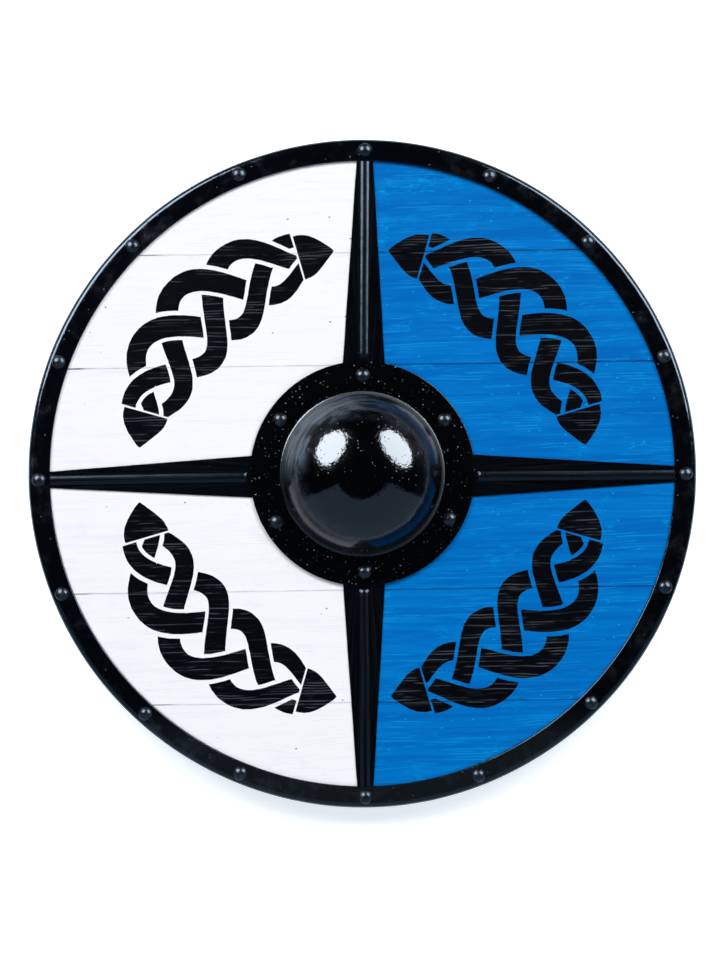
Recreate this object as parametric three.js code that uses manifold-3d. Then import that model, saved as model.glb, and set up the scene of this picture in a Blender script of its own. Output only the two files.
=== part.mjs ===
import * as THREE from 'three';
import { mergeVertices } from 'three/addons/utils/BufferGeometryUtils.js';
import Module from 'manifold-3d';

// Wooden round shield, lying on its grip with the boss up. Sizes are millimetres, +Z is up.
// The origin is on the surface that the shield lies on, under its middle.
// A clock angle is measured in degrees, clockwise from the top of the shield, seen from the front.

// Whole shield
const shieldDiameter = 610;
const seatGap = 0.3; // between two pieces that bear on each other

// Boards
const boardThickness = 12;
const boardPitch = 102.6; // from one joint between boards to the next
const middleJointDrop = 3.5; // how far the joint nearest the middle lies below it
const jointGap = 0.6;
const jointSkew = 0.45; // degrees that the joints run off level
const boardRimGap = 1.5; // from the boards' edge to the inside of the rim
const narrowestBoard = 60; // an edge strip narrower than this stays part of the board beside it
const handHoleInset = 5.5; // from the dome's side in to the edge of the hand hole

// Rim, a folded channel
const rimSheet = 1.5;
const rimLeg = 20; // how far each leg reaches in over the boards
const rimInsideBend = 1.5; // radius inside the fold's two bends

// Straps, pressed sheet with one bead each
const strapCount = 4;
const strapSheet = 1.5;
const strapInnerWidth = 41;
const strapOuterWidth = 13;
const strapInnerGap = 3; // from the dome's root out to the strap's end under the flange
const strapPastRivet = 6; // how far it runs on past its rim rivet
const strapStrays = [1.2, 1.8, -0.6, -1.4]; // clock angle of each inner end, off its quarter
const beadWidth = 9.5;
const beadHeight = 2.1;
const beadGap = 3; // from the flange's edge to the bead
const beadNose = 5; // length over which the bead rises beside the flange
const beadFade = 12; // length over which it flattens before the rim

// Boss, a raised cup with a flat flange
const bossSheet = 2;
const domeDiameter = 147;
const domeRise = 64; // above the flange
const domeRoot = 3.5; // radius between the dome and its flange
const flangeWidth = 25.5; // the flat ring outside the dome's root

// Grip, a plain bar across the hand hole
const gripPastRivet = 35.5; // how far the grip runs on past the rivets that hold it
const gripDepth = 24;
const gripEndWidth = 34;
const gripWaistWidth = 27;
const gripWaistLength = 84; // the straight middle that the hand closes on
const gripShoulder = 20; // length of the change from waist to end width
const gripTipDepth = 11;
const gripTipLength = 22; // length over which the back slopes up to each tip
const gripEdge = 4; // bevel along the long edges

// Rivets
const shankDiameter = 4;
const holeClearance = 0.3; // round a shank
const headDiameter = 12.4;
const headHeight = 3.6;
const headEdge = 0.9; // height of the head's upright edge
const tailDiameter = 6.6;
const tailHeight = 1.6;
const rimRivetCount = 16;
const rimRivetInset = 10; // from the shield's edge to the middle of a rivet
const rimRivetStrays = [0.8, 1, -0.4, 1.6, 0.4, -1.6, 0.4, 1.8, -0.2, 0, -2.6, 1, -0.8, -2, 0, 0.4];
const bossRivetInward = 0.25; // from the middle of the flange's width in to the rivets' circle
const bossRivetCount = 6;
const bossRivetStrays = [0.6, -2.8, -2, -1, 0.8, 3.6];
const counterboreGap = 1.6; // round a tail that is sunk in the grip
const counterboreSink = 1.2; // how deep such a tail lies below the grip's back

// Shares of a form's own size
const tailTaper = 0.8;
const cutOverrun = 1; // how far a cutting shape runs past what it cuts

// Sides of the faceted rounds
const rimSides = 64;
const bossSides = 40;
const holeSides = 6;
const rivetSides = 8;
const counterboreSides = 12;

// Heights, from the surface up
const boardBack = gripDepth + seatGap;
const boardFront = boardBack + boardThickness;
const rimBackFace = boardBack - seatGap;
const rimBack = rimBackFace - rimSheet;
const strapBack = boardFront + seatGap;
const strapFront = strapBack + strapSheet;
const rimFrontUnderside = strapFront + seatGap;
const rimFront = rimFrontUnderside + rimSheet;
const flangeBack = strapFront + seatGap;
const flangeFront = flangeBack + bossSheet;

// Radii
const shieldRadius = shieldDiameter / 2;
const rimInside = shieldRadius - rimSheet;
const rimLegEdge = shieldRadius - rimLeg;
const boardRadius = rimInside - boardRimGap;
const rimBend = rimInsideBend + rimSheet;
const domeRadius = domeDiameter / 2;
const domeRootRadius = domeRadius + domeRoot;
const flangeRadius = domeRootRadius + flangeWidth;
const bossRivetRadius = flangeRadius - flangeWidth / 2 - bossRivetInward;
const handHoleRadius = domeRadius - handHoleInset;
const strapInnerRadius = domeRootRadius + strapInnerGap;
const gripLength = 2 * (bossRivetRadius + gripPastRivet);
const shankRadius = shankDiameter / 2;
const holeRadius = (shankRadius + holeClearance) / Math.cos(Math.PI / holeSides);
const rimRivetRadius = shieldRadius - rimRivetInset;
const tailRadius = tailDiameter / 2;

const wasm = await Module();
wasm.setup();

// A point on a circle round the middle, at a clock angle
function clockPoint(radius, clockAngle) {
  const angle = THREE.MathUtils.degToRad(clockAngle);
  return new THREE.Vector2(radius * Math.sin(angle), radius * Math.cos(angle));
}

// Points along an arc in a profile, from one angle to another in degrees
function arc(centreX, centreY, radiusX, radiusY, from, to, steps) {
  const points = [];
  for (let step = 0; step <= steps; step += 1) {
    const angle = THREE.MathUtils.degToRad(from + ((to - from) * step) / steps);
    points.push(new THREE.Vector2(
      centreX + radiusX * Math.cos(angle),
      centreY + radiusY * Math.sin(angle),
    ));
  }
  return points;
}

function toSolid(geometry) {
  geometry.deleteAttribute('normal');
  geometry.deleteAttribute('uv');
  const merged = mergeVertices(geometry, 1e-4);
  const corners = merged.index.array;
  const triangles = [];
  for (let first = 0; first < corners.length; first += 3) {
    const [a, b, c] = corners.slice(first, first + 3);
    if (a !== b && b !== c && c !== a) {
      triangles.push(a, b, c);
    }
  }
  return new wasm.Manifold(new wasm.Mesh({
    numProp: 3,
    vertProperties: new Float32Array(merged.attributes.position.array),
    triVerts: new Uint32Array(triangles),
  }));
}

function toGeometry(solid) {
  const { vertProperties, numProp, triVerts } = solid.getMesh();
  const positions = new Float32Array((vertProperties.length / numProp) * 3);
  for (let vertex = 0; vertex * numProp < vertProperties.length; vertex += 1) {
    const start = vertex * numProp;
    positions.set(vertProperties.slice(start, start + 3), vertex * 3);
  }
  const geometry = new THREE.BufferGeometry();
  geometry.setAttribute('position', new THREE.BufferAttribute(positions, 3));
  geometry.setIndex(new THREE.BufferAttribute(new Uint32Array(triVerts), 1));
  geometry.computeVertexNormals();
  return geometry;
}

// A profile of radius and height turned about the Z axis
function revolve(profile, sides) {
  return new THREE.LatheGeometry(profile, sides).rotateX(Math.PI / 2);
}

function upright(radius, bottom, top, sides) {
  const height = top - bottom;
  return new THREE.CylinderGeometry(radius, radius, height, sides)
    .rotateX(Math.PI / 2)
    .translate(0, 0, bottom + height / 2);
}

// A closed skin over rows of points: each row is one closed loop, and the first and last rows are capped.
// The cap function gives a row's triangles as indices into the row, facing along the rows.
function skin(rows, capTriangles) {
  const size = rows[0].length;
  const positions = rows.flat().flatMap((point) => [point.x, point.y, point.z]);
  const triangles = [];
  for (let row = 0; row + 1 < rows.length; row += 1) {
    for (let column = 0; column < size; column += 1) {
      const next = (column + 1) % size;
      const here = row * size;
      const ahead = here + size;
      triangles.push(here + column, here + next, ahead + next);
      triangles.push(here + column, ahead + next, ahead + column);
    }
  }
  const last = (rows.length - 1) * size;
  for (const [a, b, c] of capTriangles) {
    triangles.push(a, c, b, last + a, last + b, last + c);
  }
  const geometry = new THREE.BufferGeometry();
  geometry.setAttribute('position', new THREE.Float32BufferAttribute(positions, 3));
  geometry.setIndex(triangles);
  return geometry;
}

// Cap of a convex loop, as a fan
function fan(size) {
  const triangles = [];
  for (let corner = 1; corner + 1 < size; corner += 1) {
    triangles.push([0, corner, corner + 1]);
  }
  return triangles;
}

// Cap of a loop that runs out along a lower line and back along an upper one
function ladder(size) {
  const triangles = [];
  for (let rung = 0; rung + 1 < size / 2; rung += 1) {
    const far = size - 1 - rung;
    triangles.push([rung, rung + 1, far - 1], [rung, far - 1, far]);
  }
  return triangles;
}

function drill(solid, holes) {
  return holes.reduce((body, hole) => body.subtract(hole), solid);
}

const materials = {
  boards: new THREE.MeshStandardMaterial({ color: 0x7ab4e2, roughness: 0.6, metalness: 0 }),
  rim: new THREE.MeshStandardMaterial({ color: 0x0c1014, roughness: 0.35, metalness: 0.4 }),
  straps: new THREE.MeshStandardMaterial({ color: 0x0c1014, roughness: 0.35, metalness: 0.4 }),
  boss: new THREE.MeshStandardMaterial({ color: 0x08090b, roughness: 0.2, metalness: 0.5 }),
  rivets: new THREE.MeshStandardMaterial({ color: 0x15181c, roughness: 0.3, metalness: 0.5 }),
  grip: new THREE.MeshStandardMaterial({ color: 0xb98f5e, roughness: 0.6, metalness: 0 }),
};

const shield = new THREE.Group();
shield.name = 'round_shield';

function addPiece(name, geometry, material) {
  const piece = new THREE.Mesh(geometry, material);
  piece.name = name;
  shield.add(piece);
  return piece;
}

// Where the rivets stand
function rivetPlaces(count, radius, strays) {
  const places = [];
  for (let index = 0; index < count; index += 1) {
    places.push(clockPoint(radius, (360 * index) / count + strays[index % strays.length]));
  }
  return places;
}

const rimRivetPlaces = rivetPlaces(rimRivetCount, rimRivetRadius, rimRivetStrays);
const bossRivetPlaces = rivetPlaces(bossRivetCount, bossRivetRadius, bossRivetStrays);

function rivetHole(place) {
  const top = Math.max(flangeFront, rimFront) + cutOverrun;
  return toSolid(upright(holeRadius, -cutOverrun, top, holeSides).translate(place.x, place.y, 0));
}

const rimRivetHoles = rimRivetPlaces.map(rivetHole);
const bossRivetHoles = bossRivetPlaces.map(rivetHole);
const rivetHoles = [...rimRivetHoles, ...bossRivetHoles];

// Boards, cut from one disc along joints that run slightly askew
function addBoards() {
  const cutBack = boardBack - cutOverrun;
  const cutFront = boardFront + cutOverrun;
  const handHole = toSolid(upright(handHoleRadius, cutBack, cutFront, bossSides));
  const blank = toSolid(upright(boardRadius, boardBack, boardFront, rimSides));
  const disc = drill(blank, [handHole, ...rivetHoles]);
  const joints = [];
  const reach = boardRadius - narrowestBoard;
  for (let y = -middleJointDrop; y < reach; y += boardPitch) {
    joints.push(y);
  }
  for (let y = -middleJointDrop - boardPitch; y > -reach; y -= boardPitch) {
    joints.push(y);
  }
  joints.sort((a, b) => b - a);
  const tops = [shieldRadius, ...joints.map((y) => y - jointGap / 2)];
  const bottoms = [...joints.map((y) => y + jointGap / 2), -shieldRadius];
  tops.forEach((top, index) => {
    const bottom = bottoms[index];
    const strip = new THREE.BoxGeometry(shieldDiameter * 2, top - bottom, cutFront - cutBack)
      .translate(0, (top + bottom) / 2, (cutFront + cutBack) / 2)
      .rotateZ(THREE.MathUtils.degToRad(jointSkew));
    addPiece(`board_${index + 1}`, toGeometry(disc.intersect(toSolid(strip))), materials.boards);
  });
}

// Rim, one sheet folded round the edge of the boards
function addRim() {
  const bendR = shieldRadius - rimBend;
  const insideR = rimInside - rimInsideBend;
  const outline = [
    new THREE.Vector2(rimLegEdge, rimBack),
    ...arc(bendR, rimBack + rimBend, rimBend, rimBend, -90, 0, 2),
    ...arc(bendR, rimFront - rimBend, rimBend, rimBend, 0, 90, 2),
    new THREE.Vector2(rimLegEdge, rimFront),
    new THREE.Vector2(rimLegEdge, rimFrontUnderside),
    ...arc(insideR, rimFrontUnderside - rimInsideBend, rimInsideBend, rimInsideBend, 90, 0, 1),
    ...arc(insideR, rimBackFace + rimInsideBend, rimInsideBend, rimInsideBend, 0, -90, 1),
    new THREE.Vector2(rimLegEdge, rimBackFace),
    new THREE.Vector2(rimLegEdge, rimBack),
  ];
  addPiece('rim', toGeometry(drill(toSolid(revolve(outline, rimSides)), rimRivetHoles)), materials.rim);
}

// Height of a bead of full height above its strap, at an offset from its middle line
function beadRise(offset, height) {
  const radius = (beadWidth * beadWidth / 4 + height * height) / (2 * height);
  return Math.max(Math.sqrt(radius * radius - offset * offset) - radius + height, 0);
}

// Strap, from under the boss to its rim rivet
function addStrap(name, inner, rivet) {
  const along = rivet.clone().sub(inner);
  const length = along.length() + strapPastRivet;
  const beadStart = flangeRadius + beadGap - strapInnerRadius;
  const beadEnd = rimLegEdge - seatGap * 2 - strapInnerRadius;
  const stations = [
    [0, 0],
    [beadStart, 0],
    [beadStart + beadNose / 3, 0.75],
    [beadStart + beadNose, 1],
    [beadEnd - beadFade, 1],
    [beadEnd, 0],
    [length, 0],
  ];
  const offsets = [-beadWidth / 2, -beadWidth / 4, 0, beadWidth / 4, beadWidth / 2];
  const rows = stations.map(([x, share]) => {
    const width = THREE.MathUtils.lerp(strapInnerWidth, strapOuterWidth, x / length);
    const across = [-width / 2, ...offsets, width / 2];
    const rise = (y) => (Math.abs(y) < beadWidth / 2 ? share * beadRise(y, beadHeight) : 0);
    const lower = across.map((y) => new THREE.Vector3(x, y, strapBack + rise(y)));
    const upper = across.map((y) => new THREE.Vector3(x, y, strapFront + rise(y)));
    return [...lower, ...upper.reverse()];
  });
  const sheet = skin(rows, ladder(rows[0].length))
    .rotateZ(Math.atan2(along.y, along.x))
    .translate(inner.x, inner.y, 0);
  addPiece(name, toGeometry(drill(toSolid(sheet), rivetHoles)), materials.straps);
}

function addStraps() {
  const names = ['strap_top', 'strap_right', 'strap_bottom', 'strap_left'];
  for (let index = 0; index < strapCount; index += 1) {
    const inner = clockPoint(strapInnerRadius, (360 * index) / strapCount + strapStrays[index]);
    const rivet = rimRivetPlaces[Math.round((index * rimRivetCount) / strapCount)];
    addStrap(names[index], inner, rivet);
  }
}

// Boss, one sheet raised into a dome with a flat flange, open at the back
function addBoss() {
  const domeFoot = flangeFront + domeRoot;
  const domeHeight = domeRise - domeRoot;
  const outside = [
    new THREE.Vector2(flangeRadius, flangeBack),
    new THREE.Vector2(flangeRadius, flangeFront),
    ...arc(domeRootRadius, domeFoot, domeRoot, domeRoot, 270, 180, 3),
    ...arc(0, domeFoot, domeRadius, domeHeight, 0, 90, 8).slice(1),
  ];
  const innerRadius = domeRadius - bossSheet;
  const insideRoot = domeRoot + bossSheet;
  const inside = [
    ...arc(0, domeFoot, innerRadius, domeHeight - bossSheet, 90, 0, 6),
    ...arc(domeRootRadius, domeFoot, insideRoot, insideRoot, 180, 270, 2).slice(1),
    new THREE.Vector2(flangeRadius, flangeBack),
  ];
  outside[outside.length - 1].x = 0;
  inside[0].x = 0;
  const cup = toSolid(revolve([...outside, ...inside], bossSides));
  addPiece('boss', toGeometry(drill(cup, bossRivetHoles)), materials.boss);
}

// Rivet: a domed head, a shank and a hammered tail, with its middle line on the Z axis
function rivetGeometry(headSeat, tailSeat) {
  const headRadius = headDiameter / 2;
  const bottom = tailSeat - tailHeight;
  const profile = [
    new THREE.Vector2(0, bottom),
    new THREE.Vector2(tailRadius * tailTaper, bottom),
    new THREE.Vector2(tailRadius, tailSeat),
    new THREE.Vector2(shankRadius, tailSeat),
    new THREE.Vector2(shankRadius, headSeat),
    new THREE.Vector2(headRadius, headSeat),
    ...arc(0, headSeat + headEdge, headRadius, headHeight - headEdge, 0, 90, 3),
  ];
  profile[profile.length - 1].x = 0;
  return toGeometry(toSolid(revolve(profile, rivetSides)));
}

function isOverGrip(place) {
  const across = Math.abs(place.x) + tailRadius + counterboreGap;
  return across < gripEndWidth / 2 && Math.abs(place.y) < gripLength / 2 - gripTipLength;
}

function addRivets() {
  const onRim = rivetGeometry(rimFront + seatGap, rimBack - seatGap);
  rimRivetPlaces.forEach((place, index) => {
    const number = String(index + 1).padStart(2, '0');
    addPiece(`rim_rivet_${number}`, onRim, materials.rivets).position.set(place.x, place.y, 0);
  });
  const short = rivetGeometry(flangeFront + seatGap, boardBack - seatGap);
  const long = rivetGeometry(flangeFront + seatGap, counterboreSink + tailHeight);
  bossRivetPlaces.forEach((place, index) => {
    const geometry = isOverGrip(place) ? long : short;
    addPiece(`boss_rivet_${index + 1}`, geometry, materials.rivets).position.set(place.x, place.y, 0);
  });
}

// Grip, waisted for the hand, with its long edges bevelled and its tips sloped up to the boards
function addGrip() {
  const half = gripLength / 2;
  const waist = gripWaistLength / 2;
  const stations = [
    [-half, gripEndWidth, gripTipDepth],
    [-half + gripTipLength, gripEndWidth, gripDepth],
    [-waist - gripShoulder, gripEndWidth, gripDepth],
    [-waist, gripWaistWidth, gripDepth],
    [waist, gripWaistWidth, gripDepth],
    [waist + gripShoulder, gripEndWidth, gripDepth],
    [half - gripTipLength, gripEndWidth, gripDepth],
    [half, gripEndWidth, gripTipDepth],
  ];
  const rows = stations.map(([y, width, depth]) => {
    const edge = Math.min(gripEdge, depth / 3, width / 3);
    const side = width / 2;
    const back = gripDepth - depth;
    const corners = [
      [side - edge, back],
      [-side + edge, back],
      [-side, back + edge],
      [-side, gripDepth - edge],
      [-side + edge, gripDepth],
      [side - edge, gripDepth],
      [side, gripDepth - edge],
      [side, back + edge],
    ];
    return corners.map(([x, z]) => new THREE.Vector3(x, y, z));
  });
  const bar = toSolid(skin(rows, fan(rows[0].length)));
  const counterboreTop = counterboreSink + tailHeight + seatGap;
  const gripRivets = bossRivetPlaces.filter(isOverGrip);
  const counterbores = gripRivets.map((place) => (
    toSolid(upright(tailRadius + counterboreGap, -cutOverrun, counterboreTop, counterboreSides)
      .translate(place.x, place.y, 0))
  ));
  const cuts = [...counterbores, ...gripRivets.map(rivetHole)];
  addPiece('grip', toGeometry(drill(bar, cuts)), materials.grip);
}

addBoards();
addRim();
addStraps();
addBoss();
addRivets();
addGrip();

export default shield;
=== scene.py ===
# Wooden round shield, lying on its grip with the boss up: fine shapes and finishes over the CAD frame.
# Lengths are metres in the frame's own axes: +X to the right, +Y to the shield's top, +Z out of its front.
import logging
import math
from dataclasses import dataclass, field
from enum import Enum
from functools import reduce
from typing import Callable, Iterable, Sequence, Union

import bpy
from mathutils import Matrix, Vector, noise


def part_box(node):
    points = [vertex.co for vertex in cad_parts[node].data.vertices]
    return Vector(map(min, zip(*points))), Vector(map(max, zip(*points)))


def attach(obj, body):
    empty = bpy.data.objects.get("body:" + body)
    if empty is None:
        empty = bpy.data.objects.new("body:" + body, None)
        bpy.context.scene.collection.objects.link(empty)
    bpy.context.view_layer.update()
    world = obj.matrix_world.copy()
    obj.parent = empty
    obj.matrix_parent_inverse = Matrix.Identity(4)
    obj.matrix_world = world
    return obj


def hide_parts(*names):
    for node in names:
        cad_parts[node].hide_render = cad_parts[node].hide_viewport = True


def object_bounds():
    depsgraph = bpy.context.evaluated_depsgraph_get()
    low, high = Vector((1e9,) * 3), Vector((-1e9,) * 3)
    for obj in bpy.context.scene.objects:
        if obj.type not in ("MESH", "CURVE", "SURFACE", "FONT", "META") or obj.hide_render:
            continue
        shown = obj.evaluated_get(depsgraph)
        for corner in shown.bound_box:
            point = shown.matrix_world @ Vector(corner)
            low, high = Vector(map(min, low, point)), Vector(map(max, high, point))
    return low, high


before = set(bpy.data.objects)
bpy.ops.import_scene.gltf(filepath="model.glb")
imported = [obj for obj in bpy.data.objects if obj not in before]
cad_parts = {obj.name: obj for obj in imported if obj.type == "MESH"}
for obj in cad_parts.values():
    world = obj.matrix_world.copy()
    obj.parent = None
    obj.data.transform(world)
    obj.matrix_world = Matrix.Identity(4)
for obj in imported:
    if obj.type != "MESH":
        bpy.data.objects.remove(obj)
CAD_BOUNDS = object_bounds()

log = logging.getLogger("round_shield")

MM = 0.001
Point = tuple[float, float, float]
Colour = tuple[float, float, float, float]


class Slot(Enum):
    """The shield's material slots."""

    BOARDS = "painted_boards"
    RIM = "black_rim"
    STRAPS = "black_straps"
    BOSS = "black_boss"
    RIVETS = "black_rivets"
    GRIP = "bare_grip"


def clamp(value: float, low: float = 0.0, high: float = 1.0) -> float:
    """Keep a number between two limits."""
    return max(low, min(high, value))


def smooth(low: float, high: float, value: float) -> float:
    """Rise smoothly from 0 at low to 1 at high."""
    share = clamp((value - low) / (high - low))
    return share * share * (3.0 - 2.0 * share)


def lerp(first: float, second: float, share: float) -> float:
    """Go from one number to another by a share."""
    return first + (second - first) * share


def drift(x: float, y: float, z: float) -> float:
    """Give a smooth wander between about -1 and 1, the same at the same place each run."""
    return noise.noise(Vector((x, y, z)))


def clock_point(radius: float, clock_angle: float) -> Vector:
    """Give the point at a radius and a clock angle in degrees, clockwise from the top."""
    angle = math.radians(clock_angle)
    return Vector((radius * math.sin(angle), radius * math.cos(angle), 0.0))


def arc(centre: tuple[float, float], radius: float, start: float, end: float,
        steps: int) -> list[tuple[float, float]]:
    """Give points along a round of a profile.

    Args:
        centre: Radius and height of the round's centre.
        radius: Radius of the round.
        start: First angle in degrees.
        end: Last angle in degrees.
        steps: How many stretches the round is cut into.

    Returns:
        Pairs of radius and height.
    """
    points = []
    for step in range(steps + 1):
        angle = math.radians(lerp(start, end, step / steps))
        points.append((centre[0] + radius * math.cos(angle), centre[1] + radius * math.sin(angle)))
    return points


class Term:
    """One value in a material's node tree, which takes part in Python arithmetic."""

    def __init__(self, wiring: "Wiring", socket: bpy.types.NodeSocket) -> None:
        """Wrap an output socket.

        Args:
            wiring: The node tree that the socket is in.
            socket: The output to wrap.
        """
        self.wiring = wiring
        self.socket = socket

    def _maths(self, operation: str, *values: "Operand") -> "Term":
        """Add a Math node over some values.

        Args:
            operation: Name of the Math node's operation.
            values: Its operands, in order.

        Returns:
            The node's result.
        """
        return self.wiring.node("ShaderNodeMath", {"operation": operation}, dict(enumerate(values)))

    def __add__(self, other: "Operand") -> "Term":
        """Add."""
        return self._maths("ADD", self, other)

    def __radd__(self, other: "Operand") -> "Term":
        """Add to a number."""
        return self._maths("ADD", other, self)

    def __sub__(self, other: "Operand") -> "Term":
        """Subtract."""
        return self._maths("SUBTRACT", self, other)

    def __rsub__(self, other: "Operand") -> "Term":
        """Subtract from a number."""
        return self._maths("SUBTRACT", other, self)

    def __mul__(self, other: "Operand") -> "Term":
        """Multiply."""
        return self._maths("MULTIPLY", self, other)

    def __rmul__(self, other: "Operand") -> "Term":
        """Multiply a number."""
        return self._maths("MULTIPLY", other, self)

    def __truediv__(self, other: "Operand") -> "Term":
        """Divide."""
        return self._maths("DIVIDE", self, other)

    def __rtruediv__(self, other: "Operand") -> "Term":
        """Divide a number."""
        return self._maths("DIVIDE", other, self)

    def __pow__(self, other: "Operand") -> "Term":
        """Raise to a power."""
        return self._maths("POWER", self, other)

    def __rpow__(self, other: "Operand") -> "Term":
        """Raise a number to a power."""
        return self._maths("POWER", other, self)

    def __abs__(self) -> "Term":
        """Drop the sign."""
        return self._maths("ABSOLUTE", self)

    def __gt__(self, other: "Operand") -> "Term":
        """Give 1 where this is the greater, else 0."""
        return self._maths("GREATER_THAN", self, other)

    def __lt__(self, other: "Operand") -> "Term":
        """Give 1 where this is the less, else 0."""
        return self._maths("LESS_THAN", self, other)

    def most(self, other: "Operand") -> "Term":
        """Give the greater of two values."""
        return self._maths("MAXIMUM", self, other)

    def least(self, other: "Operand") -> "Term":
        """Give the lesser of two values."""
        return self._maths("MINIMUM", self, other)

    def sine(self) -> "Term":
        """Give the sine of an angle in radians."""
        return self._maths("SINE", self)

    def cosine(self) -> "Term":
        """Give the cosine of an angle in radians."""
        return self._maths("COSINE", self)

    def root(self) -> "Term":
        """Give the square root."""
        return self._maths("SQRT", self)

    def whole(self) -> "Term":
        """Round down to a whole number."""
        return self._maths("FLOOR", self)

    def angle_over(self, other: "Operand") -> "Term":
        """Give the angle whose tangent is this over the other, in radians."""
        return self._maths("ARCTAN2", self, other)

    def smooth(self, low: float, high: float) -> "Term":
        """Rise smoothly from 0 at low to 1 at high, or fall where high is the lesser.

        Args:
            low: Where it is 0.
            high: Where it is 1.

        Returns:
            The risen value.
        """
        settings = {"interpolation_type": "SMOOTHSTEP"}
        rising = low < high
        values = {0: self, 1: min(low, high), 2: max(low, high), 3: 1.0 - rising, 4: float(rising)}
        return self.wiring.node("ShaderNodeMapRange", settings, values)


Operand = Union[Term, float, int]


class Wiring:
    """The node tree of one material, and the one way that nodes are added to it."""

    def __init__(self, name: str, shade: Colour) -> None:
        """Make a material with a Principled shader.

        Args:
            name: The material's name.
            shade: Its colour where nodes aren't drawn.
        """
        self.material = bpy.data.materials.new(name)
        self.material.use_nodes = True
        self.material.diffuse_color = shade
        self.tree = self.material.node_tree
        self.shader = self.tree.nodes["Principled BSDF"]

    def node(self, kind: str, settings: dict, values: dict, output: int = 0) -> Term:
        """Add a node.

        Args:
            kind: The node's type.
            settings: Its own settings, which are set first.
            values: What goes into its sockets, by name or place.
            output: Which output is wanted.

        Returns:
            That output.
        """
        made = self.tree.nodes.new(kind)
        for key, value in settings.items():
            setattr(made, key, value)
        for key, value in values.items():
            self.feed(made.inputs[key], value)
        return Term(self, made.outputs[output])

    def feed(self, socket: bpy.types.NodeSocket, value: object) -> None:
        """Link a term to a socket, or set the socket to a plain value."""
        if isinstance(value, Term):
            self.tree.links.new(value.socket, socket)
        else:
            socket.default_value = value

    def finish(self, **values: object) -> bpy.types.Material:
        """Set the shader's sockets.

        Args:
            values: Terms or plain values, by the socket's name with underscores.

        Returns:
            The finished material.
        """
        for key, value in values.items():
            self.feed(self.shader.inputs[key.replace("_", " ")], value)
        return self.material

    def place(self) -> tuple[Term, Term, Term]:
        """Give the three object coordinates, in metres.

        Returns:
            The place across the object, up it and out of it.
        """
        coordinates = self.node("ShaderNodeTexCoord", {}, {}, 3)
        parts = self.node("ShaderNodeSeparateXYZ", {}, {0: coordinates})
        return tuple(Term(self, parts.socket.node.outputs[axis]) for axis in range(3))

    def vector(self, x: Operand, y: Operand, z: Operand) -> Term:
        """Join three values into a vector."""
        return self.node("ShaderNodeCombineXYZ", {}, {0: x, 1: y, 2: z})

    def cloud(self, x: Operand, y: Operand, z: Operand, detail: float = 2.0, roughness: float = 0.5) -> Term:
        """Give smooth noise, one swell to each unit of a place.

        Args:
            x: The place's first coordinate.
            y: Its second.
            z: Its third.
            detail: How many finer layers the noise has.
            roughness: How strong the finer layers are.

        Returns:
            The noise, between 0 and 1.
        """
        values = {"Vector": self.vector(x, y, z), "Scale": 1.0, "Detail": detail, "Roughness": roughness}
        return self.node("ShaderNodeTexNoise", {}, values)

    def cells(self, x: Operand, y: Operand, z: Operand) -> tuple[Term, Term]:
        """Scatter one point in each unit of a place.

        Args:
            x: The place's first coordinate.
            y: Its second.
            z: Its third.

        Returns:
            The distance to the nearest point, and that point's own chance number between 0 and 1.
        """
        where = self.vector(x, y, z)
        distance = self.node("ShaderNodeTexVoronoi", {}, {"Vector": where, "Scale": 1.0})
        colour = Term(self, distance.socket.node.outputs[1])
        chance = self.node("ShaderNodeSeparateColor", {}, {0: colour})
        return distance, chance

    def mix(self, share: Operand, first: object, second: object) -> Term:
        """Go from one colour to another by a share."""
        settings = {"data_type": "RGBA"}
        return self.node("ShaderNodeMix", settings, {0: share, 6: first, 7: second}, 2)

    def bump(self, height: Term, depth: float) -> Term:
        """Turn a height between 0 and 1 into a normal, over a real depth in metres."""
        return self.node("ShaderNodeBump", {}, {"Strength": 1.0, "Distance": depth, "Height": height})


@dataclass(frozen=True)
class Swell:
    """One pattern of noise on the boards.

    It swells so many times a metre along the boards and up them, and shift sets one board's apart from the
    next one's.
    """

    along: float
    up: float
    shift: float
    detail: float = 2.0
    roughness: float = 0.5


class BoardPlace:
    """A place on the boards: which board it is on, how far from a joint, and how the grain runs there."""

    bend: Swell = Swell(6.0, 14.0, 5.3)
    bend_depth: float = 7.0 * MM
    ripple: Swell = Swell(34.0, 48.0, 2.7)
    ripple_depth: float = 2.2 * MM
    slope: float = 0.02

    def __init__(self, wiring: Wiring, pitch: float, drop: float, skew: float) -> None:
        """Find the place.

        Args:
            wiring: The paint's node tree.
            pitch: Distance from one joint to the next.
            drop: How far the middle joint lies below the middle.
            skew: Angle that the joints run off level.
        """
        self.wiring = wiring
        self.x, self.y, self.z = wiring.place()
        self.radius = (self.x * self.x + self.y * self.y).root()
        across = self.y - self.x * math.tan(skew) + drop
        self.board = (across / pitch).whole()
        self.past_joint = across - (across / pitch + 0.5).whole() * pitch
        self.to_joint = abs(self.past_joint)
        bend = self.noise(self.bend) * self.bend_depth
        ripple = self.noise(self.ripple) * self.ripple_depth
        self.grain = self.y + bend + ripple - self.x * self.slope

    def noise(self, swell: Swell, up: Operand | None = None) -> Term:
        """Give a pattern's noise.

        Args:
            swell: The pattern.
            up: What takes the place of the height on the shield, such as the bent height of the grain.

        Returns:
            The noise, between 0 and 1.
        """
        height = self.y if up is None else up
        return self.wiring.cloud(
            self.x * swell.along, height * swell.up, self.board * swell.shift, swell.detail, swell.roughness)


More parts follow.
